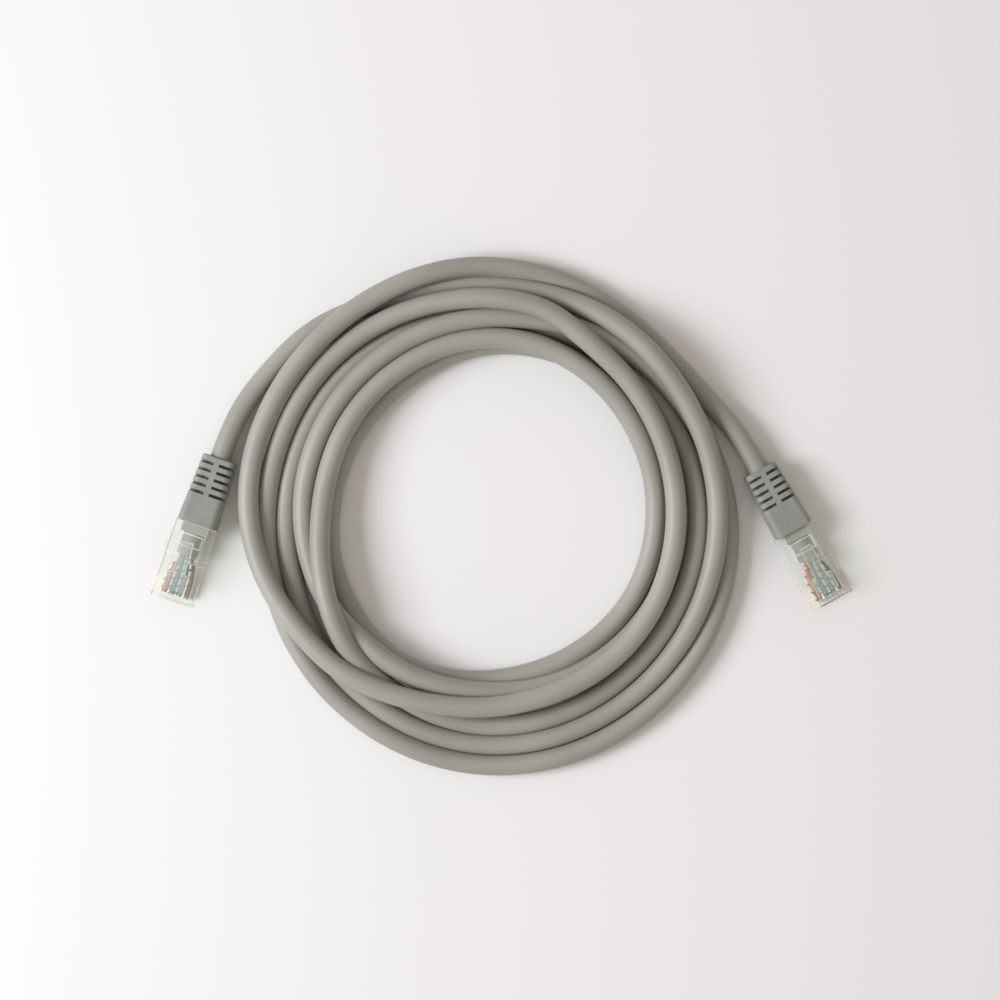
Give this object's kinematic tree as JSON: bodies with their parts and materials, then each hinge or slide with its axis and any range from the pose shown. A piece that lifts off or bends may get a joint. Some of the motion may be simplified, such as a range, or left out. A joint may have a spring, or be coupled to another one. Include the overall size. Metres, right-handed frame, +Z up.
{
  "type": "coiled network patch lead",
  "caption": "Round grey network cable wound in a loose coil, with a clear modular plug, a slotted bend relief boot and a sprung latch at each end.",
  "frame": {"origin": "on the surface that the lead lies on, midway between the two plugs", "axes": "+Z up from the surface, +X towards the right plug, +Y away from the plug noses"},
  "size_m": [0.1862, 0.1384, 0.014],
  "materials": {
    "jacket_pvc": "extruded soft PVC, satin",
    "boot_pvc": "injection moulded soft PVC, fine matt",
    "clear_polycarbonate": "clear, moulded, polished",
    "gold_plate": "gold plated contact blades",
    "insulation_white_orange": "polyethylene insulation, satin",
    "insulation_orange": "polyethylene insulation, satin",
    "insulation_white_green": "polyethylene insulation, satin",
    "insulation_blue": "polyethylene insulation, satin",
    "insulation_white_blue": "polyethylene insulation, satin",
    "insulation_green": "polyethylene insulation, satin",
    "insulation_white_brown": "polyethylene insulation, satin",
    "insulation_brown": "polyethylene insulation, satin"
  },
  "bodies": {
    "root": {"plug_body_left": "clear_polycarbonate", "contacts_left": "gold_plate", "boot_left": "boot_pvc", "jacket_end_left": "jacket_pvc", "wire_white_orange_left": "insulation_white_orange", "wire_orange_left": "insulation_orange", "wire_white_green_left": "insulation_white_green", "wire_blue_left": "insulation_blue", "wire_white_blue_left": "insulation_white_blue", "wire_green_left": "insulation_green", "wire_white_brown_left": "insulation_white_brown", "wire_brown_left": "insulation_brown", "cable_lead_left": "jacket_pvc", "plug_body_right": "clear_polycarbonate", "contacts_right": "gold_plate", "boot_right": "boot_pvc", "jacket_end_right": "jacket_pvc", "wire_white_orange_right": "insulation_white_orange", "wire_orange_right": "insulation_orange", "wire_white_green_right": "insulation_white_green", "wire_blue_right": "insulation_blue", "wire_white_blue_right": "insulation_white_blue", "wire_green_right": "insulation_green", "wire_white_brown_right": "insulation_white_brown", "wire_brown_right": "insulation_brown", "cable_lead_right": "jacket_pvc", "cable_coil": "jacket_pvc"},
    "latch_left": {"latch_left": "clear_polycarbonate"},
    "latch_right": {"latch_right": "clear_polycarbonate"}
  },
  "joints": [
    {"name": "latch_press_left", "type": "hinge", "parent": "root", "child": "latch_left", "pos_m": [-0.08656, -0.01499, 0.0071], "axis": [-0.9451, 0.3268, 0], "range_deg": [0, 7], "stiffness_Nm_per_rad": 0.02},
    {"name": "latch_press_right", "type": "hinge", "parent": "root", "child": "latch_right", "pos_m": [0.08646, -0.01519, 0.0071], "axis": [-0.8713, -0.4907, 0], "range_deg": [0, 7], "stiffness_Nm_per_rad": 0.02}
  ]
}
